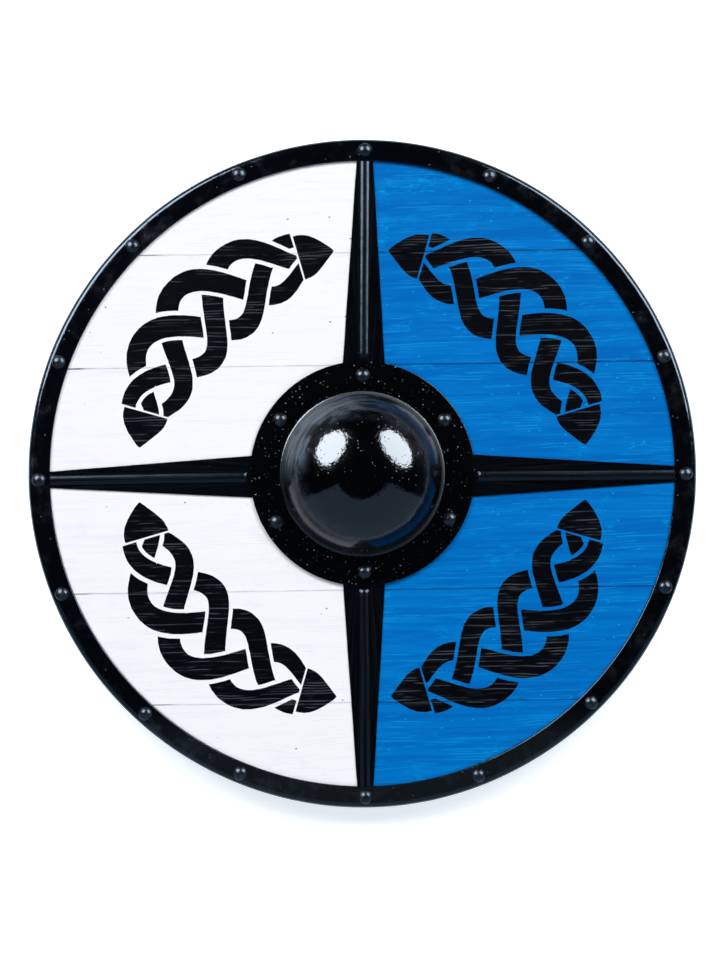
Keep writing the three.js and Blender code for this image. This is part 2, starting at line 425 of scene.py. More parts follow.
@dataclass(frozen=True)
class Plait:
    """A three-strand plait bound into a leaf-shaped tip at both ends, once in each quarter of the shield."""

    strands: int = 3
    middle_radius: float = 205 * MM
    half_turn: float = math.radians(38)
    swing: float = 34 * MM
    strand_half_width: float = 9.8 * MM
    gap: float = 3.6 * MM
    swings: float = 1.67
    swing_taper: float = 0.8
    width_taper: float = 0.5
    cut: float = 0.75
    cut_gap: float = 0.012
    tip_half_width: float = 20.5 * MM
    tip_taper: float = 0.75
    tip_belly: float = 0.25
    brush_wander: float = 0.5 * MM
    brush_swells: float = 160.0

    def mask(self, wiring: Wiring, place: BoardPlace) -> Term:
        """Draw the plait.

        Args:
            wiring: The paint's node tree.
            place: The place on the boards.

        Returns:
            1 on a strand and 0 off it.
        """
        wander = wiring.cloud(place.x * self.brush_swells, place.y * self.brush_swells, 0.0) - 0.5
        outward = place.radius + wander * (2.0 * self.brush_wander) - self.middle_radius
        along = (abs(place.y).angle_over(abs(place.x)) - math.pi / 4) / self.half_turn
        reach = abs(along)
        start = self.cut + self.cut_gap
        onward = ((reach - start) / (1.0 - start)).most(0.0).least(1.0)
        belly = (onward * math.pi).sine() * self.tip_belly + 1.0
        tip = abs(outward) < (1.0 - onward) ** self.tip_taper * belly * self.tip_half_width
        return (self.plaited(along, outward) * (reach < self.cut)).most(tip * (reach > start))

    def plaited(self, along: Term, outward: Term) -> Term:
        """Draw the strands, each with a gap beside it where it passes over another.

        Args:
            along: Place along the plait, from -1 at one end to 1 at the other.
            outward: Distance out from the plait's middle line.

        Returns:
            1 on a strand and 0 off it.
        """
        fullness = (1.0 - along * along).most(0.0)
        swing = fullness ** self.swing_taper * self.swing
        width = fullness ** self.width_taper * self.strand_half_width
        run = self.half_turn * self.middle_radius
        narrowing = along * (fullness.most(0.01) ** (self.swing_taper - 1.0))
        narrowing = narrowing * (-2.0 * self.swing * self.swing_taper)
        waves = []
        gaps = []
        for strand in range(self.strands):
            phase = along * (math.pi * self.swings) + (2.0 * math.pi * strand / self.strands + math.pi / 2)
            sine = phase.sine()
            cosine = phase.cosine()
            slope = (swing * cosine * (math.pi * self.swings) + narrowing * sine) / run
            gaps.append(abs(outward - swing * sine) / (slope * slope + 1.0).root())
            waves.append(cosine)
        marks = []
        for strand in range(self.strands):
            mark = gaps[strand] < width
            for other in range(self.strands):
                if other != strand:
                    beneath = ((waves[strand] - waves[other]) * outward) > 0.0
                    mark = mark * (1.0 - beneath * (gaps[other] < width + self.gap))
            marks.append(mark)
        return reduce(Term.most, marks)


@dataclass(frozen=True)
class BoardWear:
    """How far the paint is marked at a place, each from 0 to 1."""

    fine: Term
    broad: Term
    patches: Term
    dry: Term
    hairs: Term
    grain_lines_and_dry: Term
    brushed_off: Term
    crack: Term
    joint_line: Term


@dataclass(frozen=True)
class BoardPaint:
    """White paint on one half and blue on the other, with a black plait, over bare boards at the back."""

    pitch: float
    drop: float
    skew: float
    paint_depth: float
    lip_radius: float
    white: Colour = (0.785, 0.81, 0.845, 1.0)
    white_worn: Colour = (0.66, 0.70, 0.76, 1.0)
    blue: Colour = (0.0002, 0.150, 0.488, 1.0)
    # The lighter blue below is for worn paint and for the painted highlight on raised grain and specks.
    blue_worn_and_lit: Colour = (0.001, 0.30, 0.68, 1.0)
    blue_deep: Colour = (0.0002, 0.114, 0.42, 1.0)
    black: Colour = (0.0009, 0.0015, 0.003, 1.0)
    # The lighter black below is for dry-brushed wear and for the painted highlight on raised grain and
    # beside joints.
    black_worn_and_lit: Colour = (0.05, 0.062, 0.078, 1.0)
    wood: Colour = (0.50, 0.34, 0.19, 1.0)
    wood_tan: Colour = (0.40, 0.245, 0.125, 1.0)
    wood_dark: Colour = (0.25, 0.13, 0.06, 1.0)
    knot: Colour = (0.085, 0.038, 0.016, 1.0)
    joint_white: Colour = (0.40, 0.44, 0.53, 1.0)
    joint_blue: Colour = (0.0004, 0.035, 0.14, 1.0)
    speck: Colour = (0.12, 0.14, 0.19, 1.0)
    plait: Plait = Plait()
    hairs_per_metre: float = 400.0
    hair_sway: Swell = Swell(8.0, 26.0, 3.1)
    hair_breaks: Swell = Swell(17.0, 3.71, 2.3, 3.0, 0.6)
    fine: Swell = Swell(20.0, 520.0, 6.1, 3.0, 0.65)
    broad: Swell = Swell(5.0, 120.0, 7.7, 4.0, 0.65)
    patches: Swell = Swell(15.0, 36.0, 1.9, 3.0, 0.6)
    strokes: Swell = Swell(120.0, 800.0, 8.3, 2.0, 0.6)
    clusters: Swell = Swell(26.0, 32.0, 5.9, 2.0, 0.6)
    cracks: Swell = Swell(45.0, 1.0, 9.1)
    torn: Swell = Swell(9.0, 1.0, 4.3)
    rings: Swell = Swell(2.0, 150.0, 4.1, 4.0, 0.6)
    blue_speck_chance: float = 0.05
    white_speck_chance: float = 0.008
    knot_chance: float = 0.28
    knot_bulge: float = 14.0 * MM
    dash_start: float = 17.0 * MM
    dash_end: float = 8.0 * MM
    lit_edge: float = 1.1 * MM
    roughness: float = 0.34
    relief_depth: float = 0.15 * MM

    def wear(self, place: BoardPlace) -> BoardWear:
        """Draw the brush marks, the raised grain lines and the cracks.

        Args:
            place: The place on the boards.

        Returns:
            How far the paint is marked there.
        """
        phase = place.grain * self.hairs_per_metre + place.noise(self.hair_sway) * 4.0
        row = phase.whole()
        line = abs(phase - row - 0.5).smooth(0.28, 0.10)
        fine = place.noise(self.fine, place.grain)
        patches = place.noise(self.patches)
        dry = fine.smooth(0.54, 0.70) * patches.smooth(0.44, 0.62)
        unbroken = place.noise(self.hair_breaks, row).smooth(0.50, 0.60)
        hairs = line * unbroken * (patches.smooth(0.34, 0.62) * 0.85 + 0.15)
        strokes = place.noise(self.strokes, place.grain).smooth(0.50, 0.62)
        crack = place.noise(self.cracks, 0.0)
        open_joint = crack.smooth(0.34, 0.62) * 0.7 + 0.3
        return BoardWear(
            fine=fine,
            broad=place.noise(self.broad, place.grain),
            patches=patches,
            dry=dry,
            hairs=hairs,
            grain_lines_and_dry=hairs.most(dry * 0.7),
            brushed_off=strokes * place.noise(self.clusters).smooth(0.56, 0.68),
            crack=crack,
            joint_line=place.to_joint.smooth(0.95 * MM, 0.3 * MM) * open_joint,
        )

    def halves(self, wiring: Wiring, place: BoardPlace, wear: BoardWear) -> Term:
        """Colour the white half and the blue half, and darken their joints.

        Args:
            wiring: The paint's node tree.
            place: The place on the boards.
            wear: How far the paint is marked there.

        Returns:
            The colour.
        """
        speck_distance, speck_chance = wiring.cells(place.x * 210.0, place.y * 300.0, 0.0)
        specks = speck_distance.smooth(0.30, 0.10) * (speck_chance > 1.0 - self.blue_speck_chance)
        right = place.x > 0.0
        blue_tone = wiring.mix(wear.broad.smooth(0.38, 0.62), self.blue_deep, self.blue)
        # Painted highlight: the blue is drawn lighter along the raised grain lines and on its specks, where
        # they catch light; the brushed-off clusters and dry patches are real wear.
        faded_and_lit = (wear.grain_lines_and_dry * 0.5).most(specks).most(wear.brushed_off * 0.65)
        blue_tone = wiring.mix(faded_and_lit, blue_tone, self.blue_worn_and_lit)
        worn = wear.grain_lines_and_dry * 0.4 + wear.broad.smooth(0.5, 0.75) * 0.3 + wear.brushed_off * 0.4
        white_tone = wiring.mix(worn, self.white, self.white_worn)
        fewer = specks * (speck_chance > 1.0 - self.white_speck_chance)
        white_tone = wiring.mix(fewer, white_tone, self.speck)
        tone = wiring.mix(right, white_tone, blue_tone)
        joint_tone = wiring.mix(right, self.joint_white, self.joint_blue)
        tone = wiring.mix(wear.joint_line * (right * 0.35 + 0.6), tone, joint_tone)
        near_rim = place.radius.smooth(self.lip_radius - self.dash_start, self.lip_radius - self.dash_end)
        torn = place.noise(self.torn, 0.5).smooth(0.44, 0.50)
        dashes = place.to_joint.smooth(0.8 * MM, 0.3 * MM) * near_rim * torn
        return wiring.mix(dashes, tone, self.black)

    def front(self, wiring: Wiring, place: BoardPlace, wear: BoardWear) -> Term:
        """Lay the black plait over the two halves.

        Args:
            wiring: The paint's node tree.
            place: The place on the boards.
            wear: How far the paint is marked there.

        Returns:
            The colour.
        """
        # Painted highlight: the black is drawn lighter along the raised grain lines and along a line beside
        # each joint, where they catch light; the lighter dry-brushed patches are real wear.
        beside_joint = abs(place.past_joint + self.lit_edge).smooth(0.7 * MM, 0.3 * MM)
        lit = beside_joint * wear.crack.smooth(0.45, 0.58)
        worn_and_lit = (wear.hairs * 0.8).most(wear.dry * 0.16).most(lit * 0.6)
        black_tone = wiring.mix(worn_and_lit, self.black, self.black_worn_and_lit)
        halves = self.halves(wiring, place, wear)
        return wiring.mix(self.plait.mask(wiring, place), halves, black_tone)

    def back(self, wiring: Wiring, place: BoardPlace, wear: BoardWear) -> Term:
        """Colour the bare wood, with its rings, knots and joints.

        Args:
            wiring: The paint's node tree.
            place: The place on the boards.
            wear: How far the paint is marked there.

        Returns:
            The colour.
        """
        knot_distance, chance = wiring.cells(place.x * 7.0, place.y * 11.0, place.board * 1.7)
        knotted = chance > 1.0 - self.knot_chance
        bulge = knot_distance.smooth(0.5, 0.0) * knotted * self.knot_bulge
        rings = place.noise(self.rings, place.grain + bulge)
        own_tone = wiring.cloud(place.board * 3.7, 0.5, 0.5, 0.0).smooth(0.35, 0.65)
        tone = wiring.mix(own_tone * 0.7, self.wood, self.wood_tan)
        streaks = rings.smooth(0.40, 0.78) * 0.62 + wear.fine.smooth(0.5, 0.8) * 0.25
        tone = wiring.mix(streaks, tone, self.wood_dark)
        tone = wiring.mix(knot_distance.smooth(0.12, 0.075) * knotted * 0.85, tone, self.knot)
        return wiring.mix(place.to_joint.smooth(0.8 * MM, 0.25 * MM) * 0.9, tone, self.knot)

    def material(self) -> bpy.types.Material:
        """Wire the paint.

        Returns:
            The material.
        """
        wiring = Wiring("painted_boards", self.blue)
        place = BoardPlace(wiring, self.pitch, self.drop, self.skew)
        wear = self.wear(place)
        back, front = self.back(wiring, place, wear), self.front(wiring, place, wear)
        relief = wear.fine * 0.3 + wear.broad * 0.6 + wear.grain_lines_and_dry * 0.25 - wear.joint_line * 0.5
        return wiring.finish(
            Base_Color=wiring.mix(place.z > self.paint_depth, back, front),
            Roughness=self.roughness + wear.grain_lines_and_dry * 0.2 + wear.patches * 0.06,
            Specular_IOR_Level=0.02,
            Normal=wiring.bump(relief, self.relief_depth),
        )


@dataclass(frozen=True)
class BlackSteel:
    """Black paint on steel, with a fine skin, gentle dents, some grit under it and rubbed streaks.

    The streaks run out from the shield's middle where spokes is above 0, else in no direction. What stands
    higher than raised_above has lost more of its gloss. A painted sheen, standing in for the floor's
    reflection, greys it towards the bottom, from the upper of two heights down to the lower.
    """

    name: str
    roughness: float
    dull: float
    skin_depth: float
    dent_depth: float
    grit_depth: float
    grit_share: float
    shade: Colour = (0.0006, 0.0010, 0.0018, 1.0)
    rubbed: Colour = (0.0042, 0.0055, 0.0075, 1.0)
    # Painted sheen: the grey the paint takes towards the bottom, standing in for the floor's reflection
    # there.
    low_sheen: Colour = (0.0085, 0.0115, 0.0140, 1.0)
    sheen: Colour = (0.52, 0.72, 1.0, 1.0)
    level: float = 0.38
    low_sheen_from: float = 0.0
    low_sheen_to: float = 0.0
    spokes: float = 0.0
    spoke_breaks: float = 9.0
    raised_above: float = 0.0
    raised_dull: float = 0.0
    skin_size: float = 2.6 * MM
    dent_size: float = 24.0 * MM
    patch_size: float = 16.0 * MM
    grit_size: float = 4.5 * MM
    deepest: float = 0.5 * MM

    def material(self) -> bpy.types.Material:
        """Wire the paint.

        Returns:
            The material.
        """
        wiring = Wiring(self.name, self.shade)
        x, y, z = wiring.place()

        def at(size: float) -> tuple[Term, Term, Term]:
            """Scale the place so that one unit is this long."""
            return x / size, y / size, z / size

        skin = wiring.cloud(*at(self.skin_size), 3.0, 0.55)
        dents = wiring.cloud(*at(self.dent_size), 2.0)
        if self.spokes > 0.0:
            radius = (x * x + y * y).root().most(1.0 * MM)
            spoke = x / radius * self.spokes, y / radius * self.spokes, radius * self.spoke_breaks
            patches = wiring.cloud(*spoke, 3.0, 0.6).smooth(0.42, 0.80)
        else:
            patches = wiring.cloud(*at(self.patch_size), 4.0, 0.62).smooth(0.46, 0.80)
        worn = patches * self.dull
        if self.raised_above > 0.0:
            raised = z.smooth(self.raised_above, self.raised_above + 1.0 * MM)
            worn = worn + raised * self.raised_dull
        distance, chance = wiring.cells(*at(self.grit_size))
        grit = distance.smooth(0.17, 0.04) * (chance > 1.0 - self.grit_share)
        height = skin * self.skin_depth + dents * self.dent_depth + grit * self.grit_depth
        tone = wiring.mix(patches, self.shade, self.rubbed)
        # Painted sheen: the paint is greyed towards the bottom to stand in for the floor's reflection there.
        if self.low_sheen_to < self.low_sheen_from:
            sheen_share = y.smooth(self.low_sheen_from, self.low_sheen_to) * (patches * 0.8 + 0.55)
            tone = wiring.mix(sheen_share, tone, self.low_sheen)
        return wiring.finish(
            Base_Color=tone,
            Roughness=self.roughness + worn + (skin - 0.5) * 0.05,
            Specular_IOR_Level=self.level,
            Specular_Tint=self.sheen,
            Normal=wiring.bump(height / self.deepest, self.deepest),
        )


@dataclass(frozen=True)
class BossSteel:
    """Black paint on the boss: glossy on the dome, rubbed dull round its wall, gritty on the flange, with a
    painted reflection greying the wall's upper left and painted glints on the flange's nibs.
    """

    root_radius: float
    dome_radius: float
    shade: Colour = (0.0004, 0.0005, 0.0008, 1.0)
    sheen: Colour = (0.75, 0.86, 1.0, 1.0)
    # Painted reflection: the grey laid on the dome's wall for the light surroundings it mirrors.
    reflected_grey: Colour = (0.075, 0.115, 0.165, 1.0)
    gloss: float = 0.085
    wall_dull: float = 0.38
    flange_roughness: float = 0.13
    # Painted highlight: the colour laid on the flange's nibs for the glints they catch.
    nib_glint: Colour = (0.055, 0.064, 0.078, 1.0)
    peel_depth: float = 0.10 * MM
    peel_swells: float = 330.0
    wave_depth: float = 0.22 * MM
    wave_swells: float = 62.0
    nib_depth: float = 0.17 * MM
    flange_nibs: float = 320.0
    dome_nibs: float = 330.0
    dome_nib_chance: float = 0.34
    streak_turns: float = 2.2
    streak_swells: float = 420.0
    deepest: float = 0.5 * MM

    def material(self) -> bpy.types.Material:
        """Wire the paint.

        Returns:
            The material.
        """
        wiring = Wiring("black_boss", self.shade)
        x, y, z = wiring.place()
        radius = (x * x + y * y).root().most(0.1 * MM)
        flange = radius.smooth(self.root_radius - 0.8 * MM, self.root_radius + 0.8 * MM)
        dome = 1.0 - flange

        def at(scale: float) -> tuple[Term, Term, Term]:
            """Scale the place to this many units a metre."""
            return x * scale, y * scale, z * scale

        peel = wiring.cloud(*at(self.peel_swells))
        waves = wiring.cloud(*at(self.wave_swells))
        nib_distance, nib_chance = wiring.cells(x * self.flange_nibs, y * self.flange_nibs, 0.0)
        few_distance, few_chance = wiring.cells(*at(self.dome_nibs))
        flange_nibs = nib_distance.smooth(0.26, 0.06) * nib_chance.smooth(0.20, 0.95) * flange
        few = few_chance > 1.0 - self.dome_nib_chance
        dome_nibs = few_distance.smooth(0.26, 0.05) * few * dome
        height = flange_nibs * self.nib_depth + dome_nibs * (self.nib_depth * 0.7)
        height = height + peel * self.peel_depth * (dome * 0.9 + 0.3) + waves * self.wave_depth * dome

        turned = x / radius * self.streak_turns, y / radius * self.streak_turns
        streaks = wiring.cloud(*turned, (radius + z * 1.4) * self.streak_swells, 3.0, 0.6)
        wall = radius.smooth(self.dome_radius * 0.62, self.dome_radius * 0.84)
        wall = wall * radius.smooth(self.dome_radius + 1.2 * MM, self.dome_radius - 0.4 * MM)
        upper = y.smooth(-16.0 * MM, 26.0 * MM)
        root = radius.smooth(self.dome_radius - 2.6 * MM, self.dome_radius - 0.4 * MM)
        root = root * radius.smooth(self.root_radius - 0.2 * MM, self.root_radius - 1.2 * MM)
        leftward = x.smooth(35.0 * MM, -60.0 * MM) * 0.9 + 0.1
        dull = wall * (upper * 0.6 + 0.4) * (streaks.smooth(0.30, 0.66) * 0.6 + 0.4) * (leftward * 0.5 + 0.5)
        # Painted reflection: the wall's upper left is greyed in streaks, standing in for the light
        # surroundings mirrored there.
        painted_reflection = wall * (upper * 0.92 + 0.08) * leftward * streaks.smooth(0.36, 0.64)
        # Painted highlight: the nibs on the flange are lightened to stand in for their glints.
        tone = wiring.mix(flange_nibs, self.shade, self.nib_glint)
        soft = dull * self.wall_dull + root * (0.52 - leftward * 0.36)
        return wiring.finish(
            Base_Color=wiring.mix(painted_reflection, tone, self.reflected_grey),
            Roughness=self.gloss + soft + flange * (self.flange_roughness - self.gloss),
            Specular_Tint=self.sheen,
            Normal=wiring.bump(height / self.deepest, self.deepest),
        )


@dataclass(frozen=True)
class GripWood:
    """Bare ash, oiled and darkened by the hand."""

    hand_reach: float
    light: Colour = (0.46, 0.30, 0.16, 1.0)
    dark: Colour = (0.25, 0.14, 0.065, 1.0)
    rings: float = 330.0
    pores: float = 1500.0

    def material(self) -> bpy.types.Material:
        """Wire the wood.

        Returns:
            The material.
        """
        wiring = Wiring("bare_grip", self.light)
        x, y, z = wiring.place()
        bend = wiring.cloud(x * 30.0, y * 9.0, z * 30.0) * (4.0 * MM)
        rings = wiring.cloud((x + bend) * self.rings, y * 7.0, (z + bend) * self.rings, 3.0, 0.6)
        pores = wiring.cloud(x * self.pores, y * 45.0, z * self.pores)
        held = abs(y).smooth(self.hand_reach * 1.3, self.hand_reach * 0.6)
        tone = wiring.mix(rings.smooth(0.35, 0.7), self.light, self.dark)
        tone = wiring.mix(pores.smooth(0.62, 0.75) * 0.6, tone, self.dark)
        tone = wiring.mix(held * 0.35, tone, self.dark)
        return wiring.finish(
            Base_Color=tone,
            Roughness=0.62 - held * 0.22,
            Specular_IOR_Level=0.35,
            Normal=wiring.bump(rings * 0.5 + pores * 0.5, 0.16 * MM),
        )


@dataclass(frozen=True)
class PaleFloor:
    """Smooth white studio floor, lit a little from below so that shadows on it stay faint."""

    shade: Colour = (0.79, 0.85, 0.91, 1.0)
    glow: float = 0.60

    def material(self) -> bpy.types.Material:
        """Wire the floor.

        Returns:
            The material.
        """
        wiring = Wiring("pale_floor", self.shade)
        x, y, _ = wiring.place()
        mottle = wiring.cloud(x * 2.0, y * 2.0, 0.0)
        lighter = tuple(part * 1.02 for part in self.shade[:3]) + (1.0,)
        tone = wiring.mix(mottle, self.shade, lighter)
        return wiring.finish(
            Base_Color=tone,
            Roughness=0.7,
            Specular_IOR_Level=0.1,
            Emission_Color=tone,
            Emission_Strength=self.glow,
        )


def add_object(name: str, data: bpy.types.ID) -> bpy.types.Object:
    """Make an object of some data and put it in the scene.

    Args:
        name: The object's name.
        data: Its mesh, light or camera.

    Returns:
        The object.
    """
    made = bpy.data.objects.new(name, data)
    bpy.context.scene.collection.objects.link(made)
    return made


def eased_places(first: float, last: float, steps: int) -> list[float]:
    """List the places from one to another, closer together at both ends."""
    return [lerp(first, last, 0.5 - 0.5 * math.cos(math.pi * step / steps)) for step in range(steps + 1)]


@dataclass
class Draft:
    """A mesh in the making: its points and its faces."""

    points: list[Point] = field(default_factory=list)
    faces: list[tuple[int, ...]] = field(default_factory=list)

    def grid(self, rows: Sequence[Sequence[Point]], rows_close: bool, caps: bool) -> None:
        """Skin a grid of closed loops.

        Args:
            rows: Loops of as many points each, in order along the piece.
            rows_close: Whether the last loop joins the first.
            caps: Whether the first and last loops are closed by one face each.
        """
        base = len(self.points)
        size = len(rows[0])
        for row in rows:
            self.points.extend(row)
        count = len(rows)
        for row in range(count if rows_close else count - 1):
            here = base + row * size
            ahead = base + ((row + 1) % count) * size
            for column in range(size):
                after = (column + 1) % size
                self.faces.append((here + column, here + after, ahead + after, ahead + column))
        if caps:
            self.faces.append(tuple(base + column for column in reversed(range(size))))
            last = base + (count - 1) * size
            self.faces.append(tuple(last + column for column in range(size)))

    def turned(self, profile: Sequence[tuple[float, float]], sides: int,
               shift: Callable[[float, float, float], Point]) -> None:
        """Turn an open profile, which starts and ends on the axis, about the axis.

        Args:
            profile: Pairs of radius and height; the first and last have no radius.
            sides: How many sides the round has.
            shift: Gives the real point for an angle, a radius and a height.
        """
        base = len(self.points)
        first = profile[0]
        last = profile[-1]
        self.points.append(shift(0.0, 0.0, first[1]))
        self.points.append(shift(0.0, 0.0, last[1]))
        inner = profile[1:-1]
        for side in range(sides):
            angle = 2.0 * math.pi * side / sides
            self.points.extend(shift(angle, radius, height) for radius, height in inner)
        size = len(inner)
        for side in range(sides):
            here = base + 2 + side * size
            ahead = base + 2 + ((side + 1) % sides) * size
            self.faces.append((base, ahead, here))
            for step in range(size - 1):
                self.faces.append((here + step, ahead + step, ahead + step + 1, here + step + 1))
            self.faces.append((here + size - 1, ahead + size - 1, base + 1))

    def piece(self, name: str, material: bpy.types.Material, slot: Slot, node: str) -> bpy.types.Object:
        """Make the mesh into a piece of the shield that stands for a CAD node.

        Args:
            name: The piece's name.
            material: Its finish.
            slot: The slot that the finish belongs to; not used.
            node: The CAD node that it replaces.

        Returns:
            The piece.
        """
        made = self.plain(name, material)
        made.data.validate()
        shade(made)
        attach(made, "root")
        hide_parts(node)
        log.info("%s stands for %s with %d faces", name, node, len(made.data.polygons))
        return made

    def plain(self, name: str, material: bpy.types.Material | None = None) -> bpy.types.Object:
        """Make the mesh into an object.

        Args:
            name: The object's name.
            material: Its finish, if it has one.

        Returns:
            The object, which stands for no node.
        """
        mesh = bpy.data.meshes.new(name)
        mesh.from_pydata(self.points, [], self.faces)
        if material is not None:
            mesh.materials.append(material)
        return add_object(name, mesh)


def shade(piece: bpy.types.Object, limit: float = math.radians(42)) -> None:
    """Shade a piece smooth, with its sharper edges kept sharp, so that flats stay flat.

    Args:
        piece: The piece.
        limit: The turn at an edge above which it stays sharp.
    """
    mesh = piece.data
    mesh.polygons.foreach_set("use_smooth", [True] * len(mesh.polygons))
    normals = [polygon.normal.copy() for polygon in mesh.polygons]
    beside: dict[tuple[int, int], list[int]] = {}
    for polygon in mesh.polygons:
        for key in polygon.edge_keys:
            beside.setdefault(key, []).append(polygon.index)
    for edge in mesh.edges:
        faces = beside.get(tuple(sorted(edge.vertices)), [])
        if len(faces) == 2 and normals[faces[0]].angle(normals[faces[1]], 0.0) > limit:
            edge.use_edge_sharp = True


def node_middle(node: str) -> Vector:
    """Give the middle of a CAD node's box."""
    low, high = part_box(node)
    return (low + high) / 2.0


def nodes_named(start: str) -> list[str]:
    """List the CAD nodes whose names start with some words, in order."""
    return sorted(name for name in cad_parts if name.startswith(start))


@dataclass
class Boards:
    """Six boards edge to edge, cut to one disc, with a hand hole in the middle."""

    pitch: float = 102.6 * MM
    drop: float = 3.5 * MM
    skew: float = math.radians(0.45)
    joint_gap: float = 0.05 * MM
    eased_edge: float = 0.28 * MM
    hand_hole: float = 68.0 * MM
    under_rim: float = 17.5 * MM
    wander: float = 0.12 * MM
    least_height: float = 0.6 * MM
    least_step: float = 0.02 * MM
    paint_share: float = 0.12
    hole_reach: float = 1.01
    hole_inside: float = 0.9999
    hole_outside: float = 1.0006
    hole_stations: int = 60
    halvings: int = 40
    stations: int = 130
    columns: int = 26

    def __post_init__(self) -> None:
        """Read the disc's size and the boards' depth from the frame."""
        low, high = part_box("board_3")
        self.back = low.z
        self.front = high.z
        self.radius = high.x
        self.names = nodes_named("board_")
        paint_depth = lerp(self.front, self.back, self.paint_share)
        lip_radius = self.radius - self.under_rim
        self.material = BoardPaint(self.pitch, self.drop, self.skew, paint_depth, lip_radius).material()

    def joint(self, index: int, x: float) -> float:
        """Give the height of the joint above a board, counted from the top board at 0."""
        top_joint = len(self.names) // 2 - 1
        return -self.drop + (top_joint - index) * self.pitch + x * math.tan(self.skew)

    def span(self, index: int, x: float) -> tuple[float, float]:
        """Find how far a board reaches at a place along it.

        Args:
            index: The board, counted from the top.
            x: The place.

        Returns:
            Its lower and upper edges; they cross where there is no board.
        """
        chord = math.sqrt(max(self.radius ** 2 - x ** 2, 0.0))
        half_gap = self.joint_gap / 2.0
        high = chord if index == 0 else min(chord, self.joint(index - 1, x) - half_gap)
        low = -chord if index == len(self.names) - 1 else max(-chord, self.joint(index, x) + half_gap)
        if abs(x) < self.hand_hole:
            hole = math.sqrt(self.hand_hole ** 2 - x ** 2)
            if low < 0.0 < high or min(abs(low), abs(high)) < self.drop * 1.5:
                if (low + high) / 2.0 > 0.0:
                    low = max(low, hole)
                else:
                    high = min(high, -hole)
        return low, high

    def reach(self, index: int) -> tuple[float, float]:
        """Find how far a board runs to the left and to the right.

        Args:
            index: The board's number, from 0 at the top.

        Returns:
            The two ends.
        """
        ends = []
        for side in (-1.0, 1.0):
            near, far = 0.5 * self.radius * side, self.radius * side
            for _ in range(self.halvings):
                middle = (near + far) / 2.0
                low, high = self.span(index, middle)
                if high - low > self.least_height:
                    near = middle
                else:
                    far = middle
            ends.append(near)
        return ends[0], ends[1]

    def places(self, index: int) -> list[float]:
        """List the places along a board where it is drawn, closer together at its ends and its hole.

        Args:
            index: The board's number, from 0 at the top.

        Returns:
            The places, from left to right.
        """
        places = set(eased_places(*self.reach(index), self.stations))
        low, high = self.span(index, 0.0)
        if min(abs(low), abs(high)) < self.hand_hole * self.hole_reach:
            for step in range(self.hole_stations + 1):
                turn = math.pi * (step / self.hole_stations - 0.5)
                places.add(self.hand_hole * self.hole_inside * math.sin(turn))
            places.update((-self.hole_outside * self.hand_hole, self.hole_outside * self.hand_hole))
        ordered = sorted(places)
        return [place for number, place in enumerate(ordered)
                if number == 0 or place - ordered[number - 1] > self.least_step]

    def section(self, index: int, x: float) -> list[Point]:
        """Draw a board's cross-section as one loop.

        Args:
            index: The board, counted from the top.
            x: The place along it.

        Returns:
            The loop's points.
        """
        low, high = self.span(index, x)
        ease = min(self.eased_edge, (high - low) / 5.0)
        loop = [(x, high, self.back + ease), (x, high - ease, self.back), (x, low + ease, self.back),
                (x, low, self.back + ease), (x, low, self.front - ease),
                (x, low + 0.3 * ease, self.front - 0.3 * ease)]
        for column in range(self.columns + 1):
            y = lerp(low + ease, high - ease, column / self.columns)
            wave = drift(x * 11.0, y * 34.0, index * 5.1) * self.wander
            loop.append((x, y, self.front - self.wander + wave))
        loop.append((x, high - 0.3 * ease, self.front - 0.3 * ease))
        loop.append((x, high, self.front - ease))
        return loop

    def build(self) -> None:
        """Make every board."""
        for index, name in enumerate(self.names):
            draft = Draft()
            rows = [self.section(index, x) for x in self.places(index)]
            draft.grid(rows, rows_close=False, caps=True)
            draft.piece(f"{name}_plank", self.material, Slot.BOARDS, name)


